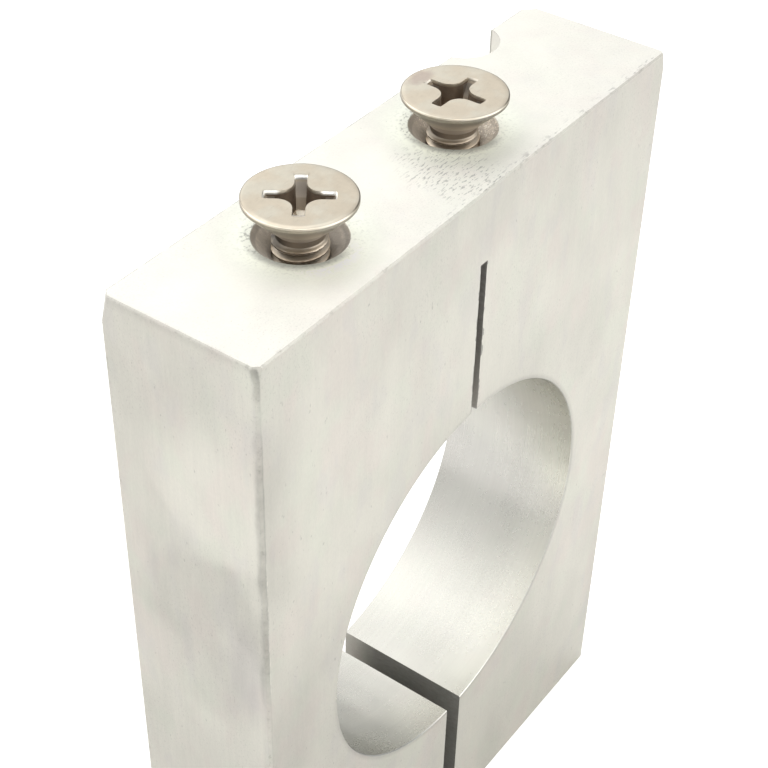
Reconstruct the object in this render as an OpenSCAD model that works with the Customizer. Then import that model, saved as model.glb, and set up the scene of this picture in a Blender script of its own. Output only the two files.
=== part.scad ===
// Split clamp block for one large can capacitor. It stands on its foot, with the bore along Y.
// The origin is the middle of the bore, halfway through the block, and +Z points at the mounting face.
// A saw slit under the bore and a thin slot over it let the two jaws close on the can.

/* [Block] */
// Length of the block along X, from the near end to the far end
block_l = 75; // [66:0.5:120]
// Thickness of the block along Y, from the front face to the back face
block_t = 19.2; // [16:0.2:40]
// Height of the mounting face above the bore's axis
axis_to_top = 55.6; // [46:0.2:90]
// Depth of the foot below the bore's axis
axis_to_foot = 50; // [41:0.5:80]
// Radius of the far upright corner at the back
back_corner_r = 2; // [0.5:0.5:4]
// Chamfer on the edges of the mounting face and the foot
edge_break = 0.2; // [0.1:0.1:1]
// Chamfer on the near upright edge in front, which was filed by hand
filed_break = 0.3; // [0.1:0.1:1]
// Chamfer on the far upright edge in front and the near one at the back
upright_break = 0.1; // [0.05:0.05:1]
// How far the filed tips of the top corners reach in over the mounting face
tip_reach = 0.4; // [0.1:0.1:1.5]
// How far the filed tips run down the upright corners
tip_drop = 2.2; // [0.5:0.1:5]
// How far the larger tip at the near back corner reaches in
large_tip_reach = 0.7; // [0.1:0.1:1.5]
// How far the larger tip runs down its corner
large_tip_drop = 3.3; // [0.5:0.1:5]

/* [Clamp] */
// Diameter of the can that the bore takes
can_d = 50.8; // [30:0.1:62]
// Diametral play of the can in the relaxed bore
can_play = 0.4; // [0:0.1:1]
// Chamfer at both mouths of the bore
bore_break = 0.1; // [0.05:0.05:0.8]
// Width of the slit that parts the two jaws
slit_w = 3; // [1:0.5:6]
// Width of the thin slot that lets the jaws bend
slot_w = 1.15; // [0.5:0.05:2.5]
// Height of the solid web left between the thin slot and the mounting face
web_h = 9.3; // [5:0.1:15]

/* [Notch] */
// Distance of the notch's centre from the far end
notch_in = 12.4; // [8:0.1:16]
// Radius of the round cutter that made the notch
notch_r = 4.5; // [2:0.1:6]
// How far the notch bites into the back face
notch_bite = 3.3; // [1:0.1:4]
// Depth of the notch below the mounting face
notch_depth = 12; // [4:0.5:18]

/* [Mounting screws] */
// Distance of the far screw from the block's middle, where the thin slot runs
far_screw_out = 8.2; // [5:0.1:11]
// Distance between the two screws
screw_pitch = 26.7; // [18:0.1:34]
// How far the two screws sit behind the block's mid plane
screw_set_back = 0.5; // [0:0.1:2]
// Length of a screw, from the top of its head to its tip
screw_l = 16; // [12:1:20]
// Diameter of the head
head_d = 11.8; // [10.5:0.1:15]
// Height of the straight rim round the head
head_rim = 0.5; // [0.2:0.1:1]
// Diameter of the plain neck under the head
neck_d = 5.1; // [4:0.1:5.4]
// Length of the plain neck
neck_l = 0.5; // [0.2:0.1:2]
// How far the near screw's head stands above the mounting face
near_proud = 4.7; // [2.5:0.1:7]
// How far the far screw's head stands above the mounting face
far_proud = 4.2; // [2.5:0.1:7]
// How far round the near screw's cross recess is turned
near_turn = 36; // [0:1:90]
// How far round the far screw's cross recess is turned
far_turn = 0; // [0:1:90]
// Distance across the cross recess at the top of the head, from wing tip to wing tip
recess_d = 7.3; // [5:0.1:8]
// Distance across the wings at the floor of the recess
recess_foot_d = 3.8; // [2:0.1:4.5]
// Width of a wing of the cross recess
wing_w = 1.2; // [0.8:0.1:1.6]
// Fillet between two wings of the cross recess
wing_fillet = 1.7; // [0.5:0.1:1.9]
// Depth of the cross recess
recess_depth = 3; // [2:0.1:3.4]

/* [Screw holes] */
// Thread diameter of all three screws
thread_d = 6; // [5.5:0.1:7.5]
// Radial play of a screw in its thread
thread_play = 0.05; // [0.02:0.01:0.1]
// Diameter of the countersink's mouth in the mounting face
mouth_d = 10; // [8:0.1:13]
// Spare depth of a threaded hole past the tip of its screw
tap_spare = 2; // [1:0.5:4]

/* [Pinch screw] */
// Length of the pinch screw under its head
pinch_l = 40; // [34:1:44]
// Diameter of the pinch screw's head
pinch_head_d = 10; // [9:0.1:12]
// Height of the pinch screw's head
pinch_head_h = 6; // [4:0.5:8]
// Distance across the flats of its hexagon socket
hex_af = 5; // [3:0.5:6]
// Depth of its hexagon socket
hex_depth = 3; // [2:0.5:4]
// Depth of the seat below the far end, to the face that the head rests on
pinch_seat = 12; // [8:1:16]
// Radial play of the head in its seat
pinch_head_play = 0.3; // [0.1:0.1:1]
// Radial play of the shank in the far jaw
pinch_shank_play = 0.3; // [0.2:0.1:1]

/* [Hidden] */
$fn = 96;
over = 1;

block_h = axis_to_top + axis_to_foot;
far_x = block_l / 2;
near_x = -far_x;
back_y = block_t / 2;
front_y = -back_y;
bore_r = (can_d + can_play) / 2;

far_screw_x = far_screw_out;
near_screw_x = far_screw_x - screw_pitch;
notch_x = far_x - notch_in;
notch_y = back_y - notch_bite + notch_r;

// The bevel under a head and the countersink are both 90 degree cones, so each is as high as it is wide.
thread_r = thread_d / 2;
shank_r = thread_r - thread_play;
neck_r = neck_d / 2;
head_r = head_d / 2;
mouth_r = mouth_d / 2;
bevel_h = head_r - neck_r;
tap_depth = screw_l + tap_spare;

// The cone that a twist drill leaves at the end of a hole has a 118 degree point.
drill_point = 0.6;
drill_flat_r = 0.05;

// The pinch screw runs midway between the bore and the foot, and its seat is cut from the far end.
pinch_z = -(bore_r + axis_to_foot) / 2;
pinch_seat_x = far_x - pinch_seat;
pinch_tip_x = pinch_seat_x - pinch_l;

aluminium = [0.83, 0.82, 0.79];
nickel = [0.72, 0.67, 0.60];
zinc = [0.66, 0.66, 0.65];

// A long prism along X that takes a chamfer of the given size off an edge through the origin.
module edge_cutter(length, size) {
    rotate([0, 90, 0])
        linear_extrude(length + 2 * over, center = true)
            rotate(45)
                square(size * sqrt(2), center = true);
}

// The block seen from above, with its one round corner.
module plan() {
    difference() {
        square([block_l, block_t], center = true);
        translate([far_x - back_corner_r, back_y - back_corner_r])
            difference() {
                translate([1, 1] * (back_corner_r + over) / 2)
                    square(back_corner_r + over, center = true);
                circle(back_corner_r);
            }
    }
}

// The chamfers on the edges of the mounting face and the foot, and on the three square upright edges.
module edge_breaks() {
    for (z = [axis_to_top, -axis_to_foot]) {
        for (y = [front_y, back_y])
            translate([0, y, z])
                edge_cutter(block_l, edge_break);
        for (x = [near_x, far_x])
            translate([x, 0, z])
                rotate(90)
                    edge_cutter(block_t, edge_break);
    }
    for (edge = [[near_x, front_y, filed_break], [far_x, front_y, upright_break], [near_x, back_y, upright_break]])
        translate([edge.x, edge.y, (axis_to_top - axis_to_foot) / 2])
            rotate([0, 90, 0])
                edge_cutter(block_h, edge.z);
}

// A wedge that files the tip off one top corner. inset is how far the corner's own shape stands back
// from the sharp corner, measured along the diagonal of the mounting face.
module tip_cutter(side_x, side_y, inset, reach, drop) {
    bite = 6;
    translate([side_x * (far_x - inset / sqrt(2)), side_y * (back_y - inset / sqrt(2)), axis_to_top])
        rotate(atan2(side_y, side_x))
            rotate([90, 0, 0])
                linear_extrude(2 * bite, center = true)
                    polygon([[-reach, 0], [0, -drop], [bite, -drop], [bite, over], [-reach, over]]);
}

// A blind hole down from the origin, with the point that its drill leaves.
module drilled_hole(r, depth) {
    translate([0, 0, -depth])
        cylinder(h = depth + over, r = r);
    translate([0, 0, -depth - drill_point * (r - drill_flat_r)])
        cylinder(h = drill_point * (r - drill_flat_r), r1 = drill_flat_r, r2 = r);
}

// The threaded and countersunk hole of a mounting screw, down from the origin. The cone is cut
// past the face, at the same slope, so that its mouth comes out at the mouth's own radius.
module screw_hole() {
    drilled_hole(thread_r, tap_depth);
    translate([0, 0, thread_r - mouth_r])
        cylinder(h = mouth_r - thread_r + over, r1 = thread_r, r2 = mouth_r + over);
}

// The bore, its chamfered mouths, the slit below it and the thin slot above it.
module clamp_cuts() {
    rotate([90, 0, 0]) {
        cylinder(h = block_t + 2 * over, r = bore_r, center = true);
        for (side = [-1, 1])
            translate([0, 0, side * (back_y - (bore_break - over) / 2)])
                mirror([0, 0, side < 0 ? 1 : 0])
                    cylinder(h = bore_break + over, r1 = bore_r, r2 = bore_r + bore_break + over, center = true);
    }
    translate([-slit_w / 2, front_y - over, -axis_to_foot - over])
        cube([slit_w, block_t + 2 * over, axis_to_foot + over]);
    translate([-slot_w / 2, front_y - over, 0])
        cube([slot_w, block_t + 2 * over, axis_to_top - web_h]);
}

// The pinch screw's seat and clearance hole in the far jaw, and its threaded hole in the near jaw.
module pinch_hole() {
    translate([pinch_seat_x, 0, pinch_z])
        rotate([0, 90, 0]) {
            cylinder(h = pinch_seat + over, r = pinch_head_d / 2 + pinch_head_play);
            translate([0, 0, -pinch_seat_x])
                cylinder(h = pinch_seat_x + over / 2, r = thread_r + pinch_shank_play);
        }
    translate([-slit_w / 2, 0, pinch_z])
        rotate([0, 90, 0])
            drilled_hole(thread_r, -slit_w / 2 - pinch_tip_x + tap_spare);
}

module block() {
    color(aluminium)
        difference() {
            translate([0, 0, -axis_to_foot])
                linear_extrude(block_h)
                    plan();
            edge_breaks();
            tip_cutter(-1, -1, filed_break / sqrt(2), tip_reach, tip_drop);
            tip_cutter(1, -1, upright_break / sqrt(2), tip_reach, tip_drop);
            tip_cutter(1, 1, back_corner_r * (sqrt(2) - 1), tip_reach, tip_drop);
            tip_cutter(-1, 1, upright_break / sqrt(2), large_tip_reach, large_tip_drop);
            clamp_cuts();
            for (x = [near_screw_x, far_screw_x])
                translate([x, screw_set_back, axis_to_top])
                    screw_hole();
            translate([notch_x, notch_y, axis_to_top - notch_depth])
                cylinder(h = notch_depth + over, r = notch_r);
            pinch_hole();
        }
}

// The cross recess's outline: two crossed wings with a fillet in each of the four inner corners.
module cross_outline() {
    inner = wing_w / 2 + wing_fillet;
    square([recess_d, wing_w], center = true);
    square([wing_w, recess_d], center = true);
    difference() {
        square(2 * inner, center = true);
        for (x = [-inner, inner], y = [-inner, inner])
            translate([x, y])
                circle(wing_fillet);
    }
}

// A cross recess, down from the origin: the ends of its wings follow a cone down to a blunt floor.
module cross_recess() {
    foot_r = recess_foot_d / 2;
    slope = (recess_d / 2 - foot_r) / recess_depth;
    floor_drop = 0.5;
    intersection() {
        translate([0, 0, -recess_depth - floor_drop])
            linear_extrude(recess_depth + floor_drop + over)
                cross_outline();
        rotate_extrude()
            polygon([
                [0, over],
                [recess_d / 2 + over * slope, over],
                [foot_r, -recess_depth],
                [0, -recess_depth - floor_drop]
            ]);
    }
}

// A countersunk screw with the top of its head at the origin, pointing down.
module mount_screw() {
    neck_top = head_rim + bevel_h;
    rim_break = 0.1;
    tip_break = 0.5;
    difference() {
        rotate_extrude()
            polygon([
                [0, 0],
                [head_r - rim_break, 0],
                [head_r, -rim_break],
                [head_r, -head_rim],
                [neck_r, -neck_top],
                [neck_r, -neck_top - neck_l],
                [shank_r, -neck_top - neck_l - (shank_r - neck_r)],
                [shank_r, -screw_l + tip_break],
                [shank_r - tip_break, -screw_l],
                [0, -screw_l]
            ]);
        cross_recess();
    }
}

module near_mount_screw() {
    color(nickel)
        translate([near_screw_x, screw_set_back, axis_to_top + near_proud])
            rotate(near_turn)
                mount_screw();
}

module far_mount_screw() {
    color(nickel)
        translate([far_screw_x, screw_set_back, axis_to_top + far_proud])
            rotate(far_turn)
                mount_screw();
}

// The socket screw that draws the jaws together. Its head rests on the seat in the far jaw.
module pinch_screw() {
    head_break = 0.5;
    run_in = 1;
    color(zinc)
        translate([pinch_seat_x, 0, pinch_z])
            rotate([0, 90, 0])
                difference() {
                    rotate_extrude()
                        polygon([
                            [0, pinch_head_h],
                            [pinch_head_d / 2 - head_break, pinch_head_h],
                            [pinch_head_d / 2, pinch_head_h - head_break],
                            [pinch_head_d / 2, 0],
                            [shank_r, 0],
                            [shank_r, -pinch_l + run_in],
                            [shank_r - run_in, -pinch_l],
                            [0, -pinch_l]
                        ]);
                    translate([0, 0, pinch_head_h - hex_depth])
                        cylinder(h = hex_depth + over, d = hex_af / cos(180 / 6), $fn = 6);
                }
}

block();
near_mount_screw();
far_mount_screw();
pinch_screw();
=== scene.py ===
import math

import bpy
import numpy as np
from mathutils import Matrix, Vector


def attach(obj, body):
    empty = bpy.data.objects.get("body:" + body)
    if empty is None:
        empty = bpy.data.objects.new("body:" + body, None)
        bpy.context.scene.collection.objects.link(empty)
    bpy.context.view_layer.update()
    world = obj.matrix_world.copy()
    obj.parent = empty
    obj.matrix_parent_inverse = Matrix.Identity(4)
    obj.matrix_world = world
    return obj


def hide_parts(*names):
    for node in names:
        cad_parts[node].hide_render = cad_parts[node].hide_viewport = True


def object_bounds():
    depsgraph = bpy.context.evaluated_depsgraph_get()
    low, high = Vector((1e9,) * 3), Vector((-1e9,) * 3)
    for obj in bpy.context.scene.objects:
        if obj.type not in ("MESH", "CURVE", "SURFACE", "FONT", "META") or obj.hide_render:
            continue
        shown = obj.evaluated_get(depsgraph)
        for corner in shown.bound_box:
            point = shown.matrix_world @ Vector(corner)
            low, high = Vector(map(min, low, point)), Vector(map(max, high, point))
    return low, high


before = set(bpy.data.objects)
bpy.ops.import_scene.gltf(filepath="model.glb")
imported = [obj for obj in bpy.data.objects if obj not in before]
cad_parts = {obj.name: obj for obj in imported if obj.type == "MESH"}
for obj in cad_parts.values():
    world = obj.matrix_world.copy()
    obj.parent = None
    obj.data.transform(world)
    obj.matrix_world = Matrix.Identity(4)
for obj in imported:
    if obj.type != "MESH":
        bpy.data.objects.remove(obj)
cad_low, cad_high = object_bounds()
scene = bpy.context.scene
MM = 0.001

# Sizes that this script shares with the CAD model, in mm
TOP_Z, FOOT_Z = 55.6, -50.0
FAR_X, HALF_T = 37.5, 9.6
BORE_R = 25.6
SLIT_HALF, SLOT_HALF, SLOT_TOP = 1.5, 0.575, 46.3
MOUTH_R = 5.0
NOTCH_X, NOTCH_Y, NOTCH_R, NOTCH_FLOOR_Z = 25.1, 10.8, 4.5, 43.6
NEAR_SCREW = (-18.5, 0.5, 60.3)
FAR_SCREW = (8.2, 0.5, 59.8)
PINCH_SEAT = (25.5, 0.0, -37.8)

# Camera
EYE = Vector((-124.616, -85.068, 148.656)) * MM
FORWARD = Vector((0.63107, 0.44629, -0.63449)).normalized()
UP = Vector((0.5034, 0.38671, 0.77269))
SENSOR_MM, LENS_MM = 36.0, 78.2086

# Soft lights round the object: azimuth and height in degrees, and strength. All have the same spread.
SOFT_LIGHTS = [
    (260, 6, 1.17), (305, 6, 1.93), (35, 6, 0.20), (80, 6, 1.58), (125, 6, 0.56), (170, 6, 0.61),
    (260, 32, 0.66), (305, 32, 1.80), (35, 32, 1.50), (80, 32, 2.43), (125, 32, 0.99), (170, 32, 0.28),
    (305, 60, 1.00), (80, 60, 0.40), (125, 60, 0.86), (170, 60, 0.30), (0, 90, 0.25),
]
SOFT_FOCUS = 10.0
# One smaller lamp over the object, with its own focus. It draws the bright lines on lips and crests.
CEILING_LAMP = (225, 60, 4.0, 40.0)

# Floor, in metres
FLOOR_HALF, FLOOR_GAP = 3.0, 0.00005
FLOOR_GREY = 0.8
FLOOR_GLOW_SEEN, FLOOR_GLOW_MIRRORED = 0.5, 0.05

# Colours of the aluminium, with tints for painted light and shade round the screws, on the near end and in
# the bore
ALUMINIUM = (0.765, 0.745, 0.668)
PINKISH, GREENISH, VIOLET = (0.775, 0.700, 0.648), (0.735, 0.757, 0.655), (0.708, 0.682, 0.645)
MILLED_TOP, TOP_HALO = (0.78, 0.777, 0.745), (0.770, 0.790, 0.720)
END_SHADE, HOLE_WALL = (0.715, 0.680, 0.645), (0.72, 0.665, 0.59)
TURNED_BORE, SHADED_BORE, JAW_BORE = (0.765, 0.762, 0.710), (0.735, 0.710, 0.675), (0.725, 0.735, 0.735)

# Colours of the nickel and the zinc, with grime, painted shade and painted highlights
NICKEL, PALE_NICKEL, BEVEL_NICKEL = (0.540, 0.480, 0.385), (0.545, 0.515, 0.435), (0.545, 0.495, 0.435)
STAIN, GRIME_AND_SHADE, RECESS_BROWN = (0.42, 0.355, 0.31), (0.19, 0.135, 0.095), (0.53, 0.44, 0.335)
UNDER_HEAD, THREAD_ROOT = (0.36, 0.33, 0.29), (0.22, 0.195, 0.16)
LIP_HIGHLIGHT, FLOOR_GLINT = (0.95, 0.93, 0.88), (0.96, 0.88, 0.74)
ZINC, PALE_ZINC, ZINC_GROOVE = (0.60, 0.605, 0.60), (0.66, 0.655, 0.63), (0.22, 0.21, 0.20)

# Patches of painted light and shade on the faces, and the milling flecks: the middle and the reach of each,
# in mm
FRONT_LIGHT = [((-27.0, 30.0), (13.0, 22.0)), ((29.0, 8.0), (13.0, 34.0))]
FRONT_OVER_BORE = [((3.0, 37.0), (16.0, 10.5))]
FRONT_BESIDE_BORE = [((-28.0, 10.5), (5.5, 5.0)), ((26.5, 20.5), (4.0, 7.0))]
FRONT_CORNER = [((-34.5, 0.0), (5.0, 8.0))]
END_LIGHT = [((-4.2, 35.6), (8.0, 9.5))]
END_BELOW = [((-1.0, 20.5), (8.0, 8.0))]
END_BESIDE_EDGE = [((-6.8, 12.5), (2.2, 6.0))]
END_TOP = [((-7.5, 50.0), (3.2, 6.0))]
END_LOW = [((-3.0, 8.0), (6.0, 5.0))]
TOP_FLECKS = [((0.4, -4.6), (4.6, 5.6))]
TOP_LIGHT = [((-22.0, -6.9), (6.5, 3.2))]
STAIN_REACH = (1.7, 1.0)

# Level directions in x and y, for painted light and shade that is on one side of a screw or a hole:
# towards the near end and the back face, and towards the near end and the front face. The second of
# each pair is for the thread and for the outline of the head.
TO_LEFT, THREAD_TO_LEFT = (-0.59, 0.81), (-0.59, 0.807)
TO_FRONT, OUTLINE_TO_FRONT = (-0.81, -0.59), (-0.816, -0.578)


def add_camera():
    data = bpy.data.cameras.new("camera")
    data.sensor_width = SENSOR_MM
    data.lens = LENS_MM
    data.clip_start = 0.01
    right = FORWARD.cross(UP).normalized()
    up = right.cross(FORWARD)
    camera = bpy.data.objects.new("camera", data)
    turn = Matrix((right, up, -FORWARD)).transposed().to_4x4()
    camera.matrix_world = Matrix.Translation(EYE) @ turn
    scene.collection.objects.link(camera)
    scene.camera = camera


class Sum:
    """A value in a shader tree. Sums of these read like formulas and become Math nodes."""

    def __init__(self, tree, socket):
        self.tree, self.socket = tree, socket

    def math(self, operation, *others):
        node = self.tree.nodes.new("ShaderNodeMath")
        node.operation = operation
        for place, item in enumerate((self, *others)):
            if isinstance(item, Sum):
                self.tree.links.new(item.socket, node.inputs[place])
            else:
                node.inputs[place].default_value = item
        return Sum(self.tree, node.outputs[0])

    def __add__(self, other):
        return self.math("ADD", other)

    def __sub__(self, other):
        return self.math("SUBTRACT", other)

    def __mul__(self, other):
        return self.math("MULTIPLY", other)

    def __truediv__(self, other):
        return self.math("DIVIDE", other)

    __radd__, __rmul__ = __add__, __mul__

    def __rsub__(self, other):
        return self.math("MULTIPLY", -1.0) + other

    def __abs__(self):
        return self.math("ABSOLUTE")

    def most(self, other):
        return self.math("MAXIMUM", other)

    def least(self, other):
        return self.math("MINIMUM", other)

    def ramp(self, start, end, low=0.0, high=1.0):
        """Goes softly from low at start to high at end, and stays there."""
        node = self.tree.nodes.new("ShaderNodeMapRange")
        node.interpolation_type = "SMOOTHSTEP"
        self.tree.links.new(self.socket, node.inputs["Value"])
        for name, value in (("From Min", start), ("From Max", end), ("To Min", low), ("To Max", high)):
            node.inputs[name].default_value = value
        return Sum(self.tree, node.outputs["Result"])


def length(a, b):
    return (a * a + b * b).math("SQRT")


def along(x, y, direction):
    return x * direction[0] + y * direction[1]


def light_direction(azimuth, height):
    a, h = math.radians(azimuth), math.radians(height)
    return Vector((math.cos(h) * math.cos(a), math.cos(h) * math.sin(a), math.sin(h)))


def add_world():
    """A white room with soft lights. A camera ray sees plain white."""
    world = bpy.data.worlds.new("studio")
    scene.world = world
    world.use_nodes = True
    tree = world.node_tree
    tree.nodes.clear()
    out = tree.nodes.new("ShaderNodeOutputWorld")
    background = tree.nodes.new("ShaderNodeBackground")
    look = tree.nodes.new("ShaderNodeTexCoord")
    path = tree.nodes.new("ShaderNodeLightPath")
    total = None
    for azimuth, height, strength, focus in [(*light, SOFT_FOCUS) for light in SOFT_LIGHTS] + [CEILING_LAMP]:
        toward = tree.nodes.new("ShaderNodeVectorMath")
        toward.operation = "DOT_PRODUCT"
        tree.links.new(look.outputs["Generated"], toward.inputs[0])
        toward.inputs[1].default_value = light_direction(azimuth, height)
        lobe = ((Sum(tree, toward.outputs["Value"]) - 1.0) * focus).math("EXPONENT") * strength
        total = lobe if total is None else total + lobe
    camera = Sum(tree, path.outputs["Is Camera Ray"])
    level = camera + (1.0 - camera) * total
    tree.links.new(level.socket, background.inputs["Strength"])
    tree.links.new(background.outputs[0], out.inputs["Surface"])


def floor_paper():
    """Pale paper that looks plain white from the camera and adds little light of its own."""
    material = bpy.data.materials.new("floor_paper")
    material.use_nodes = True
    tree = material.node_tree
    tree.nodes.clear()
    out = tree.nodes.new("ShaderNodeOutputMaterial")
    diffuse = tree.nodes.new("ShaderNodeBsdfDiffuse")
    diffuse.inputs["Color"].default_value = (FLOOR_GREY, FLOOR_GREY, FLOOR_GREY, 1)
    glow = tree.nodes.new("ShaderNodeEmission")
    path = tree.nodes.new("ShaderNodeLightPath")
    rays = ("Is Camera Ray", "Is Glossy Ray", "Is Transmission Ray")
    camera, glossy, through = (Sum(tree, path.outputs[name]) for name in rays)
    strength = camera * FLOOR_GLOW_SEEN + glossy.most(through) * FLOOR_GLOW_MIRRORED
    tree.links.new(strength.socket, glow.inputs["Strength"])
    both = tree.nodes.new("ShaderNodeAddShader")
    tree.links.new(diffuse.outputs[0], both.inputs[0])
    tree.links.new(glow.outputs[0], both.inputs[1])
    tree.links.new(both.outputs[0], out.inputs["Surface"])
    return material


def add_floor():
    z = cad_low.z - FLOOR_GAP
    sides = ((-1, -1), (1, -1), (1, 1), (-1, 1))
    corners = [(side_x * FLOOR_HALF, side_y * FLOOR_HALF, z) for side_x, side_y in sides]
    mesh = bpy.data.meshes.new("floor")
    mesh.from_pydata(corners, [], [(0, 1, 2, 3)])
    mesh.materials.append(floor_paper())
    floor = bpy.data.objects.new("floor", mesh)
    scene.collection.objects.link(floor)


class Surface:
    """A metal material. Its places are object coordinates in mm, so it doesn't slide in a pose."""

    def __init__(self, name):
        self.material = bpy.data.materials.new(name)
        self.material.use_nodes = True
        self.tree = self.material.node_tree
        self.shader = self.tree.nodes["Principled BSDF"]
        look = self.tree.nodes.new("ShaderNodeTexCoord")
        scale = self.tree.nodes.new("ShaderNodeVectorMath")
        scale.operation = "SCALE"
        scale.inputs["Scale"].default_value = 1 / MM
        self.tree.links.new(look.outputs["Object"], scale.inputs[0])
        self.where = scale.outputs[0]
        self.x, self.y, self.z = self.parts(self.where)
        self.nx, self.ny, self.nz = self.parts(look.outputs["Normal"])

    def parts(self, socket):
        node = self.tree.nodes.new("ShaderNodeSeparateXYZ")
        self.tree.links.new(socket, node.inputs[0])
        return [Sum(self.tree, out) for out in node.outputs]

    def vector(self, *parts):
        node = self.tree.nodes.new("ShaderNodeCombineXYZ")
        for part, socket in zip(parts, node.inputs):
            self.tree.links.new(part.socket, socket)
        return node.outputs[0]

    def noise(self, size, stretch=(1, 1, 1), detail=2.0, rough=0.5, seed=0.0, at=None):
        """Soft noise from 0 to 1. size is one bump's width in mm, made longer along an axis by stretch."""
        move = self.tree.nodes.new("ShaderNodeVectorMath")
        move.operation = "MULTIPLY_ADD"
        self.tree.links.new(at or self.where, move.inputs[0])
        move.inputs[1].default_value = [1 / (size * s) for s in stretch]
        move.inputs[2].default_value = (seed * 3.1, seed * 7.7, seed * 5.3)
        node = self.tree.nodes.new("ShaderNodeTexNoise")
        self.tree.links.new(move.outputs[0], node.inputs["Vector"])
        node.inputs["Scale"].default_value = 1.0
        node.inputs["Detail"].default_value = detail
        node.inputs["Roughness"].default_value = rough
        return Sum(self.tree, node.outputs[0])

    def near(self, places, parts, soft, ragged=None):
        """1 inside the ellipses on a face and 0 outside them. ragged moves their edges."""
        a, b = (getattr(self, part) for part in parts)
        mask = None
        for point, reach in places:
            away = length((a - point[0]) / reach[0], (b - point[1]) / reach[1])
            if ragged is not None:
                away = away + (ragged - 0.5)
            inside = away.ramp(1 + soft, 1 - soft)
            mask = inside if mask is None else mask.most(inside)
        return mask

    def tint(self, colour, share, other):
        """Mixes another colour in, by a share from 0 to 1."""
        node = self.tree.nodes.new("ShaderNodeMix")
        node.data_type = "RGBA"
        self.tree.links.new(share.socket, node.inputs["Factor"])
        a, b = [s for s in node.inputs if s.type == "RGBA"]
        for socket, value in ((a, colour), (b, other)):
            if isinstance(value, tuple):
                socket.default_value = (*value, 1)
            else:
                self.tree.links.new(value, socket)
        return [s for s in node.outputs if s.type == "RGBA"][0]

    def finish(self, colour, tone, roughness, height, metallic=None):
        """Connects the shader. height is the bumps' height in mm."""
        scale = self.tree.nodes.new("ShaderNodeVectorMath")
        scale.operation = "SCALE"
        self.tree.links.new(colour, scale.inputs[0])
        self.tree.links.new(tone.socket, scale.inputs["Scale"])
        self.tree.links.new(scale.outputs[0], self.shader.inputs["Base Color"])
        self.tree.links.new(roughness.socket, self.shader.inputs["Roughness"])
        if metallic is None:
            self.shader.inputs["Metallic"].default_value = 1.0
        else:
            self.tree.links.new(metallic.socket, self.shader.inputs["Metallic"])
        bump = self.tree.nodes.new("ShaderNodeBump")
        bump.inputs["Strength"].default_value = 1.0
        bump.inputs["Distance"].default_value = MM
        self.tree.links.new(height.socket, bump.inputs["Height"])
        self.tree.links.new(bump.outputs[0], self.shader.inputs["Normal"])
        return self.material


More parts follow.
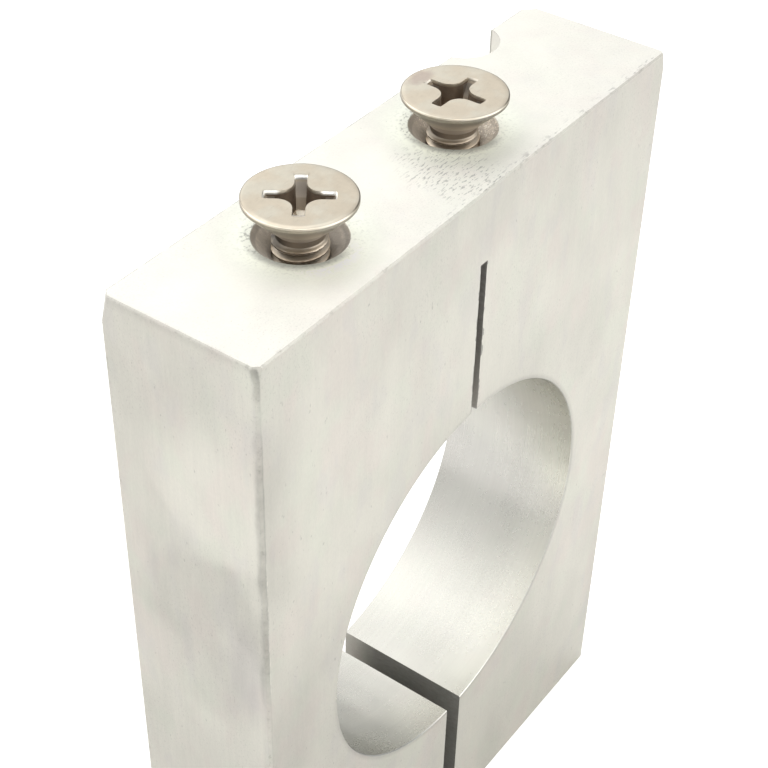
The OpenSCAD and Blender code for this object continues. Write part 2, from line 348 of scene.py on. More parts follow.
class Aluminium(Surface):
    """The block's tumbled aluminium. Each face and cut has a mask, and most have a method of their own."""

    def __init__(self):
        super().__init__("tumbled_aluminium")
        self.find_faces()
        self.find_cuts()
        self.cloud = self.noise(11, stretch=(1, 1, 1.5), detail=2.5, rough=0.55, seed=1)
        self.patch = self.noise(4.5, stretch=(1, 1, 1.7), detail=3, seed=2)
        self.grain = self.noise(0.5, stretch=(1, 1, 16), detail=2, rough=0.6, seed=3)
        self.fine = self.noise(0.22, stretch=(1, 1, 2.5), detail=1, seed=4)
        self.pits = self.noise(0.40, stretch=(1, 1, 2.0), detail=1, seed=5).ramp(0.72, 0.79)
        self.pits = self.pits * self.patch.ramp(0.45, 0.6)
        self.nick = self.noise(1.1, detail=3, rough=0.65, seed=7)

    def find_faces(self):
        x, y, z = self.x, self.y, self.z
        self.axis_r = length(x, z)
        self.turn = z.math("ARCTAN2", x) * (180 / math.pi)
        self.over_face = abs(y).ramp(HALF_T - 0.15, HALF_T - 0.02) * abs(self.ny).ramp(0.6, 0.95)
        self.on_end = abs(x).ramp(FAR_X - 0.3, FAR_X - 0.05) * abs(self.nx).ramp(0.6, 0.95)
        self.near_end = x.ramp(0.5 - FAR_X, 0.2 - FAR_X)
        self.on_top = z.ramp(TOP_Z - 0.3, TOP_Z - 0.05) * self.nz.ramp(0.6, 0.95)
        self.in_bore = self.axis_r.ramp(BORE_R + 0.15, BORE_R + 0.05) * (1.0 - self.over_face)
        dx, dy = FAR_X - abs(x), HALF_T - abs(y)
        dz = (TOP_Z - z).least(z - FOOT_Z)
        self.from_edge = dx.least(dy).most(dx.most(dy).least(dz))

    def find_cuts(self):
        x, y, z = self.x, self.y, self.z
        self.beside_near = length(x - NEAR_SCREW[0], y - NEAR_SCREW[1])
        self.beside_far = length(x - FAR_SCREW[0], y - FAR_SCREW[1])
        self.beside_screw = self.beside_near.least(self.beside_far)
        self.in_hole = self.beside_screw.ramp(MOUTH_R + 0.04, MOUTH_R - 0.02)
        self.in_hole = self.in_hole * z.ramp(35.0, 36.0) * z.ramp(TOP_Z, TOP_Z - 0.1)
        self.in_notch = length(x - NOTCH_X, y - NOTCH_Y).ramp(NOTCH_R + 0.1, NOTCH_R + 0.02)
        self.in_notch = self.in_notch * z.ramp(TOP_Z, TOP_Z - 0.2)
        self.in_notch = self.in_notch * z.ramp(NOTCH_FLOOR_Z - 1.6, NOTCH_FLOOR_Z - 0.6)
        self.in_slit = abs(x).ramp(SLIT_HALF + 0.1, SLIT_HALF + 0.02) * abs(self.nx).ramp(0.5, 0.9)
        self.in_slit = self.in_slit * z.ramp(0.6 - BORE_R, 0.2 - BORE_R)
        self.in_slot = abs(x).ramp(SLOT_HALF + 0.065, SLOT_HALF + 0.025) * z.ramp(BORE_R - 0.6, BORE_R - 0.1)
        self.in_slot = self.in_slot * z.ramp(SLOT_TOP + 0.10, SLOT_TOP + 0.02)

    def base_colour(self):
        """Faint pink, green and violet clouds over the whole block."""
        pink = self.noise(4.5, stretch=(1, 1, 1.6), detail=2, seed=8).ramp(0.48, 0.66)
        green = self.noise(5.5, stretch=(1, 1, 1.3), detail=2, seed=9).ramp(0.50, 0.68)
        violet = self.noise(3.5, stretch=(1, 1, 2.2), detail=2, seed=10).ramp(0.54, 0.68)
        colour = self.tint(ALUMINIUM, pink * 0.38, PINKISH)
        colour = self.tint(colour, green * 0.36, GREENISH)
        colour = self.tint(colour, violet * 0.36, VIOLET)
        return self.tint(colour, self.on_top * 0.6, MILLED_TOP)

    def base_tone(self):
        specks = self.noise(0.20, stretch=(1, 1, 1.5), detail=1, seed=6).ramp(0.58, 0.74)
        specks = specks * self.cloud.ramp(0.56, 0.44)
        tone = 0.855 + self.cloud * 0.12 - self.over_face * 0.016
        tone = tone + (self.patch - 0.5) * 0.15 * (1.0 - self.in_bore * 0.7 - self.on_top * 0.3)
        tone = tone + (self.grain - 0.5) * (self.over_face * 0.07 + self.on_end * 0.10)
        tone = tone + (self.fine - 0.5) * 0.08 * (1.0 - self.in_bore * 0.8)
        return tone - (self.pits * 0.18 + specks * 0.09) * (1.0 - self.in_bore)

    def end_face(self, colour, tone):
        """Painted light and shade on the near end: one bright patch with a slanted lower corner, darker
        below it.
        """
        y, z = self.y, self.z
        slant = z - 26.5 + (y + 1.0) * 0.25
        slant = slant.least(z - 26.5 - (y + 1.0) * 1.25) + (self.patch - 0.5) * 2.0
        bright = self.near(END_LIGHT, "yz", 0.4, self.patch) * slant.ramp(-0.7, 1.5)
        below = self.near(END_BELOW, "yz", 0.5, self.patch)
        beside_edge = self.near(END_BESIDE_EDGE, "yz", 0.5, self.cloud)
        top = self.near(END_TOP, "yz", 0.5, self.cloud)
        low = z.ramp(3.0, -3.0).most(self.near(END_LOW, "yz", 0.5, self.cloud) * 0.8)
        shade = below * 0.08 + beside_edge * 0.06 + low * 0.045
        shade = shade + z.ramp(34.0, 44.0) * z.ramp(54.0, 48.0) * 0.025 + z.ramp(54.3, 55.3) * 0.07
        tone = tone + self.near_end * (bright * 0.12 + top * 0.07 - shade)
        return self.tint(colour, self.near_end * beside_edge * 0.6, END_SHADE), tone

    def front_face(self, tone):
        """Soft patches of painted light and shade on the front face. The back face has the same ones."""
        x, z = self.x, self.z
        light = self.near(FRONT_LIGHT, "xz", 0.6, self.cloud)
        over_bore = self.near(FRONT_OVER_BORE, "xz", 0.6, self.cloud)
        beside_bore = self.near(FRONT_BESIDE_BORE, "xz", 0.6, self.cloud)
        corner = self.near(FRONT_CORNER, "xz", 0.6, self.cloud)
        low_left = z.ramp(0.0, -35.0) * x.ramp(-18.0, -34.0)
        low_jaw = z.ramp(-36.0, -44.0) * x.ramp(4.0, 9.0) * x.ramp(17.0, 12.0)
        left_strip = x.ramp(-30.5, -36.0) * z.ramp(20.0, 27.0) * z.ramp(53.0, 43.0)
        shade = beside_bore * 0.055 + corner * 0.08 + low_left * 0.07 + low_jaw * 0.04 + left_strip * 0.11
        return tone + self.over_face * (light * 0.105 + over_bore * 0.10 - shade)

    def edges(self, tone):
        """A soft rubbed line with a faint painted sheen and a few dark nicks, and painted shade on the
        upright edge in front and on the chamfers.
        """
        x, y, z = self.x, self.y, self.z
        self.edge_dark = self.nick.ramp(0.56, 0.70) * self.from_edge.ramp(0.55, 0.15) * 0.14
        rubbed_sheen = self.from_edge.ramp(0.42, 0.2) * self.nick.ramp(0.55, 0.42)
        tone = tone - self.edge_dark + rubbed_sheen * 0.03

        # The upright edge has a painted dark reflection: a narrow band, thinner near the top, with a dark
        # wedge at its upper end.
        wander = self.noise(3.0, stretch=(1, 1, 2), detail=3, rough=0.6, seed=19) - 0.5
        thin = z.ramp(46.5, 48.5) * z.ramp(TOP_Z - 0.3, 53.5)
        band = (x + FAR_X + wander * 0.5).ramp(0.50, 0.32)
        band = band * (y + HALF_T - wander * 1.6 + thin * 0.35).ramp(1.15, 0.35)
        band = band * z.ramp(6.0, 16.0, 0.3, 1.0) * z.ramp(TOP_Z - 0.1, TOP_Z - 0.4) * (1.0 - thin * 0.45)
        blotch = self.noise(1.2, stretch=(3, 3, 1), detail=3, seed=26)
        wedge = z.ramp(51.0, 53.2) * z.ramp(TOP_Z - 0.4, 53.8, 0.6, 1.0)
        middle = z.ramp(45.0, 41.0) * z.ramp(26.0, 30.0)
        tone = tone - band * (0.08 + blotch * 0.22 + wedge * 0.33 + middle * 0.08)
        # Painted glints on a burr beside the upright edge.
        burr_glint = self.noise(0.5, stretch=(1, 1, 2.5), detail=2, rough=0.7, seed=20).ramp(0.46, 0.62)
        burr_glint = burr_glint * x.ramp(0.28 - FAR_X, 0.38 - FAR_X) * x.ramp(0.58 - FAR_X, 0.44 - FAR_X)
        tone = tone + burr_glint * self.over_face * z.ramp(10.0, 13.0) * z.ramp(33.0, 29.0) * 0.14

        # Painted shade darkens the chamfers round the mounting face, less on the near end.
        chamfer = self.nz.ramp(0.35, 0.6) * self.nz.ramp(0.95, 0.85) * z.ramp(TOP_Z - 0.6, TOP_Z - 0.4)
        paler = self.nx.ramp(-0.3, -0.6) * (0.04 + z.ramp(TOP_Z - 0.3, TOP_Z) * 0.16)
        return tone * (1.0 - chamfer * (0.22 - paler))

    def bore_rim(self, tone):
        """Painted shade along the bore's rim stands in for a rubbed, rounder edge, most on the right and
        below.
        """
        side = self.x.ramp(-12.0, 14.0).most(self.z.ramp(6.0, -16.0))
        tone = tone - self.over_face * self.axis_r.ramp(BORE_R + 0.85, BORE_R + 0.05) * (0.03 + side * 0.14)
        slope = abs(self.ny).ramp(0.5, 0.65) * abs(self.ny).ramp(0.9, 0.8)
        slope = slope * self.axis_r.ramp(BORE_R + 0.3, BORE_R + 0.15)
        return tone * (1.0 - slope * (0.06 + side * 0.16))

    def slot_edges(self, tone):
        """The thin slot's edges are slightly ragged on the front face, and so on the back face, with the
        bites painted dark as shade and painted glints beside them.
        """
        x = self.x
        ragged = self.noise(0.9, stretch=(1, 1, 2), detail=2, seed=17)
        beside_slot = self.z.ramp(BORE_R - 0.2, BORE_R + 0.4) * self.z.ramp(SLOT_TOP + 0.05, SLOT_TOP - 0.1)
        beside_slot = beside_slot * self.over_face
        frayed = (abs(x) + ragged * 1.6).ramp(1.50, 1.42)
        tone = tone * (1.0 - beside_slot * frayed * 0.5)
        chip_glints = x.ramp(0.56, 0.62) * x.ramp(0.86, 0.74) * ragged.ramp(0.50, 0.58)
        return tone + beside_slot * chip_glints * 0.10

    def mounting_face(self, colour, tone):
        """Milling flecks in front of the far screw, marks along the edge, and painted light and shade: round
        the screws, beside each hole and along the back edge.
        """
        x, y = self.x, self.y
        flecks = self.noise(0.24, stretch=(3.6, 1, 1), detail=2, rough=0.6, seed=11).ramp(0.55, 0.63)
        self.flecks = flecks * self.near(TOP_FLECKS, "xy", 0.4, self.patch)
        marks = self.noise(0.5, stretch=(3.0, 1, 1), detail=3, rough=0.7, seed=13).ramp(0.52, 0.64)
        marks = marks * y.ramp(-8.2, -9.4) * x.ramp(-14.0, -4.0)
        speck = self.noise(0.34, detail=2, seed=14).ramp(0.5, 0.68)
        # Painted light lifts the mounting face, round each screw and in a patch in front of the near screw,
        # with a greenish tint round the screws.
        halo = self.beside_screw.ramp(8.5, 5.0) * (0.17 - speck * 0.15)
        light = self.near(TOP_LIGHT, "xy", 0.6)
        tone = tone + self.on_top * (0.195 + halo + light * 0.13 - self.flecks * 0.36 - marks * 0.32)
        colour = self.tint(colour, self.on_top * self.beside_screw.ramp(10.0, 6.0) * 0.7, TOP_HALO)
        # A painted shadow beside each hole, on its front side and its left.
        for (hole_x, hole_y, _), away in ((NEAR_SCREW, self.beside_near), (FAR_SCREW, self.beside_far)):
            facing = along(x - hole_x, y - hole_y, TO_FRONT).ramp(1.5, 4.0)
            left = along(x - hole_x, y - hole_y, TO_LEFT).ramp(1.5, 4.0) * (1.0 - facing)
            ring = away.ramp(6.2, 5.05) * facing * 0.42 + away.ramp(6.4, 5.2) * left * (0.10 + speck * 0.30)
            tone = tone * (1.0 - ring * self.on_top)
        # Painted shade along the back edge.
        back_line = self.nick.ramp(0.40, 0.55) * y.ramp(9.22, 9.34) * self.on_top
        tone = tone * (1.0 - back_line * 0.22)
        # The notch's wall has painted light, with painted shade near the back face.
        return colour, tone + self.in_notch * (0.13 - y.ramp(9.25, 9.4) * 0.40)

    def turned_bore(self, tone):
        """Fine rings round the bore, soft bands across it, and painted light and shade on its sides, darkest
        on the ceiling and the jaw.

        A side's place is its turn in degrees: 0 is the far side, 90 the ceiling and -90 the slit.
        """
        y, turn, in_bore = self.y, self.turn, self.in_bore
        round_bore = self.vector(turn * 0.09, y, self.axis_r)
        bands = self.noise(1.6, stretch=(1, 5, 1), detail=2, seed=15, at=round_bore)
        self.rings = self.noise(0.35, stretch=(16, 1, 1), detail=2, rough=0.7, seed=16, at=round_bore)
        ceiling = (turn + y + 9.0).ramp(10.0, 30.0) * turn.ramp(120.0, 80.0) * y.ramp(4.0, 0.0)
        ceiling = ceiling * (0.09 + y.ramp(-9.0, -3.0) * 0.10)
        lit_side = turn.ramp(-20.0, -12.0) * turn.ramp(12.0, 2.0)
        self.shaded_side = (turn - y * 0.5).ramp(-4.0, -13.0) * turn.ramp(-30.0, -18.0)
        front_side = y.ramp(-2.0, -9.0) * turn.ramp(-100.0, -75.0) * turn.ramp(14.0, 0.0)
        low_side = turn.ramp(-56.0, -44.0) * turn.ramp(12.0, 0.0)
        self.jaw_side = turn.ramp(-92.0, -118.0) * turn.ramp(-175.0, -160.0)
        self.jaw_side = self.jaw_side * (y + turn * 0.25 + 27.5).ramp(2.0, -7.0)
        jaw_band = turn.ramp(-88.0, -97.0) * turn.ramp(-112.0, -103.0) * y.ramp(-7.0, -1.0)
        tone = tone + in_bore * ((bands - 0.5) * 0.11 + (self.rings - 0.5) * 0.10)
        tone = tone + in_bore * (0.06 + lit_side * 0.02 + front_side * 0.20 + low_side * 0.04)
        return tone - in_bore * (ceiling + self.shaded_side * 0.07 + self.jaw_side * 0.32 + jaw_band * 0.18)

    def cuts(self, tone):
        """The slit and the thin slot are painted dark as shade, the slot darker towards its top end, and the
        screw holes have painted light and shade on their sides.

        The near hole has painted shade on its right, and the far hole has painted glints on its far side.
        """
        x, y, z = self.x, self.y, self.z
        self.rough_cut = self.noise(0.45, stretch=(1, 2.5, 1), detail=3, rough=0.75, seed=18)
        slit = self.in_slit * (0.48 + self.rough_cut * 0.25) * y.ramp(3.5, 9.6, 1.04, 0.35)
        slot = self.in_slot * (0.46 - z.ramp(37.0, BORE_R - 0.1) * 0.26 + self.rough_cut * 0.3)
        tone = tone * (1.0 - slit - slot)
        bright_specks = self.noise(0.26, detail=2, rough=0.7, seed=12).ramp(0.50, 0.70) * x.ramp(6.0, 9.0)
        right = (x - NEAR_SCREW[0] - (y - NEAR_SCREW[1]) * 1.37).ramp(-3.0, 3.0) * x.ramp(-6.0, -8.0)
        hole = right * 0.27 - 0.07 - self.rough_cut.ramp(0.45, 0.75) * 0.22 - bright_specks * 0.8
        return tone * (1.0 - self.in_hole * hole)

    def inner_colours(self, colour):
        """The colours inside the holes, the thin slot and the bore. turned_bore finds the bore's sides."""
        colour = self.tint(colour, self.in_hole.most(self.in_slot * 0.4), HOLE_WALL)
        colour = self.tint(colour, self.in_bore * 0.6, TURNED_BORE)
        # The bore's shaded side and jaw side get tints of their painted shade.
        colour = self.tint(colour, self.in_bore * self.shaded_side * 0.4, SHADED_BORE)
        return self.tint(colour, self.in_bore * self.jaw_side * 0.6, JAW_BORE)

    def whole(self):
        colour, tone = self.end_face(self.base_colour(), self.base_tone())
        tone = self.slot_edges(self.bore_rim(self.edges(self.front_face(tone))))
        colour, tone = self.mounting_face(colour, tone)
        tone = self.cuts(self.turned_bore(tone))
        colour = self.inner_colours(colour)
        in_bore, outside = self.in_bore, 1.0 - self.in_bore
        in_any_cut = self.in_hole + self.in_slit.most(self.in_slot)
        roughness = 0.45 + (self.cloud - 0.5) * 0.08 + (self.grain - 0.5) * 0.08 + self.on_top * 0.24
        roughness = roughness - in_bore * 0.17 + in_any_cut * 0.2
        height = self.grain * 0.005 * (self.over_face + self.on_end)
        height = height + outside * (self.fine * 0.005 - self.pits * 0.02)
        height = height + self.patch * (0.04 - in_bore * 0.03) + self.rings * in_bore * 0.002
        height = height + in_any_cut * self.rough_cut * 0.07
        height = height - self.edge_dark * 0.15 - self.on_top * self.flecks * 0.02
        metallic = 1.0 - self.in_slit * 0.75 - self.in_slot * 0.95 - self.in_hole * 0.4
        return self.finish(colour, tone, roughness, height, metallic)


class Nickel(Surface):
    """Warm nickel plate of a mounting screw. Its object's origin is the middle of the head's top."""

    def __init__(self, name, painted_light):
        super().__init__(name)
        # The strength of the painted highlights on the rim, lips and recess floor, and of the painted shade
        # on the thread's left side.
        self.painted_light = painted_light
        self.cloud = self.noise(2.6, detail=3, seed=21)
        self.blotch = self.noise(0.9, detail=4, rough=0.65, seed=22)
        self.fine = self.noise(0.12, detail=2, seed=23)
        self.scratch = self.noise(0.10, stretch=(16, 1, 1), detail=1, seed=24).ramp(0.68, 0.76)
        self.find_parts()

    def find_parts(self):
        x, z = self.x, self.z
        self.r = r = length(x, self.y)
        self.on_top = z.ramp(-0.32, -0.2)
        self.in_recess = r.ramp(3.72, 3.66) * z.ramp(-0.22, -0.42)
        self.faces_up = self.nz.ramp(0.15, 0.5)
        self.on_bevel = z.ramp(-0.50, -0.62) * r.ramp(2.5, 2.6) * z.ramp(-4.0, -3.7)
        self.on_thread = z.ramp(-3.8, -4.0)
        self.rim = r.ramp(5.70, 5.84) * z.ramp(-0.22, -0.14)
        self.floor = z.ramp(-2.88, -2.98) * z.ramp(-3.7, -3.6) * r.ramp(2.0, 1.9)
        lip = z.ramp(-0.008, -0.03) * z.ramp(-0.40, -0.30) * r.ramp(4.3, 4.1) * r.ramp(2.0, 2.5)
        lip = lip * (self.blotch + 0.4).least(1.0)
        self.lip = lip * (1.0 - x.ramp(3.2, 3.4) * z.ramp(-0.12, -0.20))
        # Grime and painted shade in the recess, less on the parts that face up.
        grime_and_shade = (0.60 + self.blotch * 0.5 - self.faces_up * 0.62).least(1.0).most(0.0)
        self.grime_and_shade = self.in_recess * grime_and_shade

    def colours(self, stain):
        """Grime and painted shade in the recess and the thread's roots, painted shade on the bevel and under
        the rim, and painted highlights on the lips and the recess's floor.
        """
        z, r, blotch, on_bevel = self.z, self.r, self.blotch, self.on_bevel
        colour = self.tint(NICKEL, self.cloud.ramp(0.4, 0.65) * 0.8, PALE_NICKEL)
        if stain is not None:
            mark = self.near([(stain, STAIN_REACH)], "xy", 0.45, self.noise(0.9, detail=3, seed=25))
            colour = self.tint(colour, mark * 0.8 * self.on_top, STAIN)
        colour = self.tint(colour, self.grime_and_shade, GRIME_AND_SHADE)
        colour = self.tint(colour, self.in_recess * self.faces_up * 0.5, RECESS_BROWN)
        # Painted shade on the bevel and under the rim.
        under_rim = z.ramp(-0.17, -0.26) * r.ramp(5.0, 5.6)
        colour = self.tint(colour, on_bevel * 0.6, BEVEL_NICKEL)
        colour = self.tint(colour, on_bevel.most(under_rim) * (0.08 + blotch * 0.22), UNDER_HEAD)
        # Grime and painted shade in the thread's roots.
        root = self.on_thread * r.ramp(2.94, 2.72)
        colour = self.tint(colour, root * (0.40 + blotch * 0.35), THREAD_ROOT)
        # Painted highlights on the lips of the recess.
        colour = self.tint(colour, self.lip * self.painted_light, LIP_HIGHLIGHT)
        # A painted glint on the floor of the recess.
        return self.tint(colour, self.floor * self.painted_light, FLOOR_GLINT)

    def tones(self, painted_lift, shade):
        """A painted highlight on the rim, most on its front side; painted light and shade on the bevel and
        thread, and painted shade on the head's side and back outline.
        """
        x, y, z, r, blotch = self.x, self.y, self.z, self.r, self.blotch
        tone = 0.97 + painted_lift + (self.cloud - 0.5) * 0.20 + (blotch - 0.5) * 0.24 + (self.fine - 0.5) * 0.10
        tone = tone - self.scratch * 0.14 * self.on_top
        rubbed_sheen = r.ramp(5.15, 5.50) * z.ramp(-0.10, -0.04)
        rubbed_sheen = rubbed_sheen * along(x, y, TO_FRONT).ramp(2.5, 4.8) * self.painted_light
        to_left = along(x, y, THREAD_TO_LEFT)
        flank = abs(to_left).ramp(2.3, 2.8) * blotch.ramp(0.42, 0.60)
        first_turn = z.ramp(-5.5, -5.2) * to_left.ramp(0.3, 2.2)
        thread = 0.20 + flank * 0.20 - first_turn * 0.66 - to_left.ramp(1.2, 2.4) * self.painted_light * 0.38
        tone = tone + self.rim * 0.46 + rubbed_sheen * 0.34 + self.on_bevel * 0.37 + self.on_thread * thread
        side = z.ramp(-0.16, -0.22) * z.ramp(-0.56, -0.50) * r.ramp(5.6, 5.75)
        upper_bevel = self.on_bevel * z.ramp(-2.4, -0.9)
        outline = r.ramp(5.70, 5.77) * z.ramp(-0.20, -0.08) * along(x, y, OUTLINE_TO_FRONT).ramp(3.8, 1.5)
        painted_shade = side * (0.46 + shade - blotch * 0.42) + upper_bevel * (0.30 + shade) + outline * 0.60
        # The parts of the recess that face up have painted light.
        return tone * (1.0 - painted_shade) + self.in_recess * self.faces_up * 0.08 * (1.0 - self.lip)

    def whole(self, painted_lift=0.0, shade=0.0, stain=None):
        colour, tone = self.colours(stain), self.tones(painted_lift, shade)
        roughness = 0.38 + (self.cloud - 0.5) * 0.12 + self.blotch * 0.06 + self.in_recess * 0.1
        roughness = roughness - self.rim * 0.12 - self.on_thread * 0.1 - self.lip * 0.08 - self.floor * 0.2
        height = self.fine * 0.004 + self.cloud * 0.04 + self.blotch * 0.016 - self.scratch * 0.004
        return self.finish(colour, tone, roughness, height, 1.0 - self.grime_and_shade * 0.4)


def zinc():
    """Plain zinc plate for the pinch screw, which lies along X with its seat at the origin."""
    s = Surface("plated_zinc")
    cloud = s.noise(3, detail=3, seed=31)
    fine = s.noise(0.15, detail=3, seed=32)
    r = length(s.y, s.z)
    on_thread = s.x.ramp(-0.5, -1.0)
    colour = s.tint(ZINC, cloud.ramp(0.4, 0.7), PALE_ZINC)
    # Painted shade in the thread's grooves and between the knurl's ridges.
    groove = on_thread * r.ramp(2.8, 2.5)
    knurl = (1.0 - on_thread) * r.ramp(4.96, 4.84) * r.ramp(4.6, 4.75)
    colour = s.tint(colour, (groove * 0.6).most(knurl * 0.55), ZINC_GROOVE)
    tone = 0.96 + (fine - 0.5) * 0.1
    roughness = 0.32 + cloud * 0.15
    return s.finish(colour, tone, roughness, fine * 0.004 + cloud * 0.02)


def turns_of(count):
    return np.arange(count) * 2 * math.pi / count


def ring(turns, radius, height):
    radius = np.broadcast_to(radius, turns.shape)
    height = np.broadcast_to(height, turns.shape)
    return np.stack([radius * np.cos(turns), radius * np.sin(turns), height], 1)


class Shell:
    """Sheets of rings in one mesh. A sheet runs from the bottom of the recess out, over and down."""

    def __init__(self):
        self.points, self.faces, self.count = [], [], 0

    def sheet(self, rings, cap_first=False, cap_last=False):
        rings = np.asarray(rings)
        rows, n = rings.shape[:2]
        k = np.arange(n)
        after = (k + 1) % n
        for row in range(rows - 1):
            a = self.count + row * n
            self.faces += np.stack([a + k, a + n + k, a + n + after, a + after], 1).tolist()
        if cap_first:
            self.faces.append((self.count + k).tolist())
        if cap_last:
            self.faces.append((self.count + (rows - 1) * n + k)[::-1].tolist())
        self.points.append(rings.reshape(-1, 3))
        self.count += rows * n

    def piece(self, name, material, place, turn):
        mesh = bpy.data.meshes.new(name)
        mesh.from_pydata((np.concatenate(self.points) * MM).tolist(), [], self.faces)
        mesh.shade_smooth()
        mesh.set_sharp_from_angle(angle=math.radians(38))
        mesh.materials.append(material)
        mesh.transform(turn)
        piece = bpy.data.objects.new(name, mesh)
        piece.location = Vector(place) * MM
        scene.collection.objects.link(piece)
        return piece


def waves(turns, seed, size, count=9):
    """A small uneven line round a screw."""
    rng = np.random.default_rng(seed)
    total = np.zeros_like(turns)
    for k in range(2, 2 + count):
        total += rng.normal() * np.sin(k * 3 * turns + rng.uniform(0, 2 * math.pi)) / math.sqrt(k)
    return total * size / math.sqrt(count)


def cross_radius(turns, wing, fillet, tip):
    """The cross recess's outline, as a radius for each turn: two wings with a fillet between them."""
    t = np.abs((turns + math.pi / 4) % (math.pi / 2) - math.pi / 4)
    centre = wing / 2 + fillet
    s = centre * (np.cos(t) + np.sin(t))
    arc = s - np.sqrt(np.maximum(s * s - 2 * centre * centre + fillet * fillet, 0))
    side = wing / 2 / np.maximum(np.sin(t), 1e-6)
    return np.minimum(np.where(t < math.atan2(wing / 2, centre), side, arc), tip)


# M6 thread: radius of crest and root, pitch, half the width of a crest, and the slope of a flank
CREST, ROOT, PITCH = 2.95, 2.34, 1.0
HALF_CREST, FLANK_SLOPE = PITCH / 16, 1.732


def thread_rings(turns, heights, start, run_in, first, tip, tip_break):
    """Rings of a right-hand thread, which starts from a neck of radius first and ends at tip."""
    rows = []
    for h in heights:
        phase = np.abs((h - start - PITCH * turns / (2 * math.pi) + PITCH / 2) % PITCH - PITCH / 2)
        radius = CREST - np.clip((phase - HALF_CREST) * FLANK_SLOPE, 0, CREST - ROOT)
        blend = min(max((start - h) / run_in, 0), 1)
        radius = first + (radius - first) * blend
        radius = np.minimum(radius, CREST - max(0, tip + tip_break - h))
        rows.append(ring(turns, radius, h))
    return rows


# A mounting screw's head, neck and thread, in mm. Heights count from the middle of the head's top.
RECESS_TIP, RECESS_FOOT, RECESS_DEPTH = 3.65, 1.9, 3.0
WING, WING_FILLET = 1.2, 1.7
LIP_WIDTH, LIP_DROP = 0.05, 0.30
HEAD_FLAT_R, HEAD_R, NECK_R = 5.76, 5.83, 2.6
BEVEL_TOP, BEVEL_FOOT = -0.54, -3.80
THREAD_START, SCREW_TIP, TIP_BREAK = -4.35, -16.0, 0.5
FLOOR_PROFILE = ((0.01, 0.5), (0.35, 0.34), (0.7, 0.16), (0.93, 0.03), (1.0, 0.0))
LIP_PROFILE = ((0.0, LIP_DROP), (0.10, 0.20), (0.5, 0.11), (0.88, 0.02), (1.0, 0.0))
RIM_PROFILE = (
    (5.80, -0.012), (5.85, -0.045), (5.88, -0.09), (5.89, -0.15),
    (5.89, -0.42), (5.875, -0.48), (HEAD_R, BEVEL_TOP),
)
NECK_PROFILE = ((2.56, -3.86), (2.55, -3.95), (2.55, -4.40))


def recess_rings(turns):
    """Rings from the middle of the recess's floor up its walls."""
    floor = cross_radius(turns, WING - 0.24, WING_FILLET, RECESS_FOOT)
    rings = [ring(turns, floor * share, -RECESS_DEPTH - drop) for share, drop in FLOOR_PROFILE]
    for depth in np.linspace(RECESS_DEPTH - 0.06, LIP_DROP + 0.10, 14):
        tip = RECESS_TIP - (RECESS_TIP - RECESS_FOOT) * depth / RECESS_DEPTH
        rings.append(ring(turns, cross_radius(turns, WING - 0.08 * depth, WING_FILLET, tip), -depth))
    return rings


def lip_rings(turns, seed, worn):
    """Rings over the recess's lip and on to the flat of the head. A worn lip is wider on its far sides."""
    around = np.stack([np.cos(turns), np.sin(turns)], 1)
    reach = cross_radius(turns, WING - 0.03, WING_FILLET, RECESS_TIP - 0.18)
    if worn > 0:
        reach = np.where(np.cos(turns) < -0.9, np.minimum(reach, 3.15), reach)
    inner = around * reach[:, None]
    edge = np.roll(inner, -1, 0) - np.roll(inner, 1, 0)
    out = np.stack([edge[:, 1], -edge[:, 0]], 1) / np.linalg.norm(edge, axis=1)[:, None]
    width = LIP_WIDTH + worn * np.clip((reach - 1.5) / 0.9, 0, 1) * np.clip(out[:, 0], 0, 1)
    at_tip = (out * around).sum(1) > 0.9
    width = np.where(at_tip & (reach > 3.05), np.maximum(width, RECESS_TIP + 0.03 - reach), width)
    width = width * (1 + waves(turns, seed, 0.10))
    rings = []
    for share, drop in LIP_PROFILE:
        lip = inner + out * (width * share)[:, None]
        rings.append(np.column_stack([lip, np.full(len(turns), -drop)]))
    for share in np.linspace(0.15, 1, 7):
        flat = lip + (around * HEAD_FLAT_R - lip) * share
        rings.append(np.column_stack([flat, np.zeros(len(turns))]))
    return rings


def mount_screw(name, node, body, place, turn, seed, material, worn=0.0):
    """worn is how wide the bruised lips on the far sides of the recess's wings are, in mm."""
    turns = turns_of(576)
    shell = Shell()
    rings = recess_rings(turns) + lip_rings(turns, seed, worn)
    rim = waves(turns, seed + 2, 0.01)
    rings += [ring(turns, r + rim, h) for r, h in RIM_PROFILE]
    for share in np.linspace(0.03, 1, 12):
        height = BEVEL_TOP + (BEVEL_FOOT - BEVEL_TOP) * share
        rings.append(ring(turns, HEAD_R + (NECK_R - HEAD_R) * share, height))
    rings += [ring(turns, r, h) for r, h in NECK_PROFILE]
    shell.sheet(rings, cap_first=True)
    heights = np.concatenate([np.arange(-4.25, -8.0, -0.04), np.arange(-8.0, -15.99, -0.1), [SCREW_TIP]])
    thread = thread_rings(turns_of(144), heights, THREAD_START, 0.45, 2.55, SCREW_TIP, TIP_BREAK)
    shell.sheet(thread, cap_last=True)
    piece = shell.piece(name, material, place, Matrix.Rotation(math.radians(turn), 4, "Z"))
    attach(piece, body)
    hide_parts(node)


# The pinch screw, in mm. Heights count from its seat, along the screw.
PINCH_HEAD_R, PINCH_TOP = 5.0, 6.0
HEX_HALF, HEX_DEPTH, HEX_CONE = 2.5, 3.0, 0.55
HEX_MOUTH_R = 2.80
RIDGES, RIDGE_DEPTH = 60, 0.11
PINCH_THREAD_START, PINCH_TIP, PINCH_TIP_BREAK = -0.6, -40.0, 1.0
KNURL_PROFILE = ((0.34, 0.2), (0.55, 1), (2.0, 1), (3.5, 1), (5.0, 1), (5.5, 1), (5.7, 0.3))
UNDER_PROFILE = ((4.88, 0.10), (4.75, 0.0), (3.4, 0.0), (3.05, -0.02), (2.8, -0.3))


def hexagon_radius(turns, half):
    return half / np.cos((turns % (math.pi / 3)) - math.pi / 6)


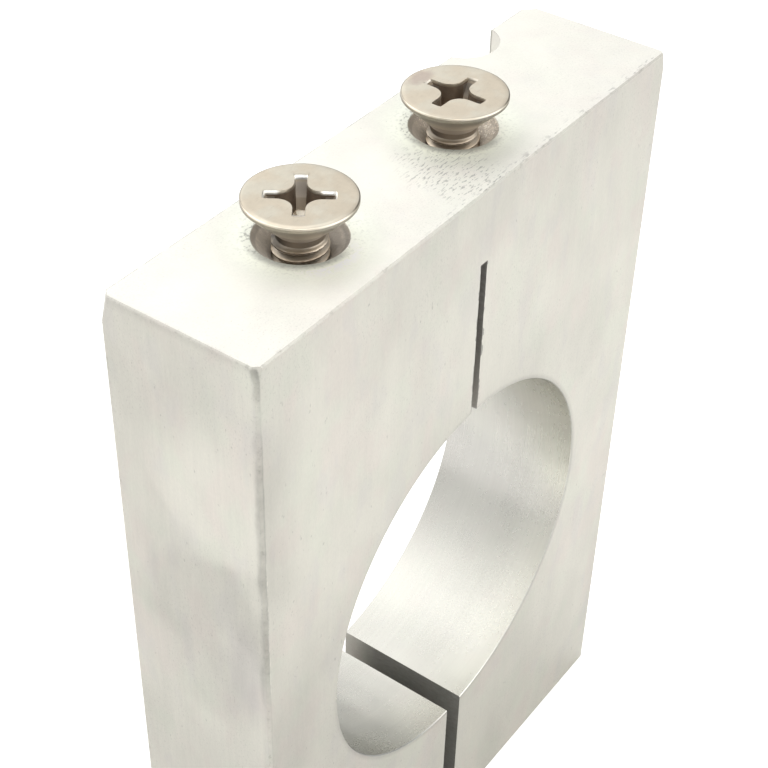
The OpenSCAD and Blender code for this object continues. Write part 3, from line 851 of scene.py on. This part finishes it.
def socket_rings(turns):
    """Rings from the hexagon socket's floor out to the edge of the head's flat top."""
    socket = hexagon_radius(turns, HEX_HALF)
    mouth = np.maximum(socket, HEX_MOUTH_R)
    rings = []
    for share in (0.01, 0.3, 0.6, 0.85, 0.98):
        rings.append(ring(turns, socket * share, PINCH_TOP - HEX_DEPTH - HEX_CONE * (1 - share)))
    rings += [ring(turns, socket, PINCH_TOP - depth) for depth in (2.95, 2.0, 1.0, 0.45)]
    for share, depth in ((1.0, 0.12), (1.015, 0.03), (1.04, 0.0)):
        rings.append(ring(turns, mouth * share, PINCH_TOP - depth))
    for share in np.linspace(0.2, 1, 5):
        rings.append(ring(turns, mouth * 1.04 + (4.45 - mouth * 1.04) * share, PINCH_TOP))
    return rings


def pinch_screw():
    turns = turns_of(600)
    shell = Shell()
    rings = socket_rings(turns)
    rings += [ring(turns, 4.62, PINCH_TOP - 0.05), ring(turns, 4.80, PINCH_TOP - 0.19)]
    ridge = RIDGE_DEPTH * (0.5 + 0.5 * np.cos(turns * RIDGES)) ** 0.7
    for depth, share in KNURL_PROFILE:
        rounding = 0.11 if depth < 0.4 else 0
        rings.append(ring(turns, PINCH_HEAD_R - 0.01 - ridge * share - rounding, PINCH_TOP - depth))
    rings += [ring(turns, r, h) for r, h in UNDER_PROFILE]
    shell.sheet(rings, cap_first=True)
    heights = np.concatenate([np.arange(-0.2, -39.99, -0.125), [PINCH_TIP]])
    thread = thread_rings(turns_of(108), heights, PINCH_THREAD_START, 1.0, 2.8, PINCH_TIP, PINCH_TIP_BREAK)
    shell.sheet(thread, cap_last=True)
    piece = shell.piece("pinch_socket_screw", zinc(), PINCH_SEAT, Matrix.Rotation(math.pi / 2, 4, "Y"))
    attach(piece, "clamp_block")
    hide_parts("pinch_screw")


# The scene
add_camera()
add_world()
add_floor()
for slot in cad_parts["block"].material_slots:
    slot.material = Aluminium().whole()
# Two copies of the nickel with their own painted light and shade; the far one also has a stain on its head.
near_nickel = Nickel("nickel_near", painted_light=1.0).whole()
far_nickel = Nickel("nickel_far", painted_light=0.2).whole(painted_lift=0.10, shade=0.19, stain=(0.2, 4.7))
mount_screw("near_cross_screw", "near_mount_screw", "near_screw", NEAR_SCREW, 36, 3, near_nickel, worn=0.26)
mount_screw("far_cross_screw", "far_mount_screw", "far_screw", FAR_SCREW, 0, 8, far_nickel)
pinch_screw()

scene.view_settings.view_transform = "Standard"
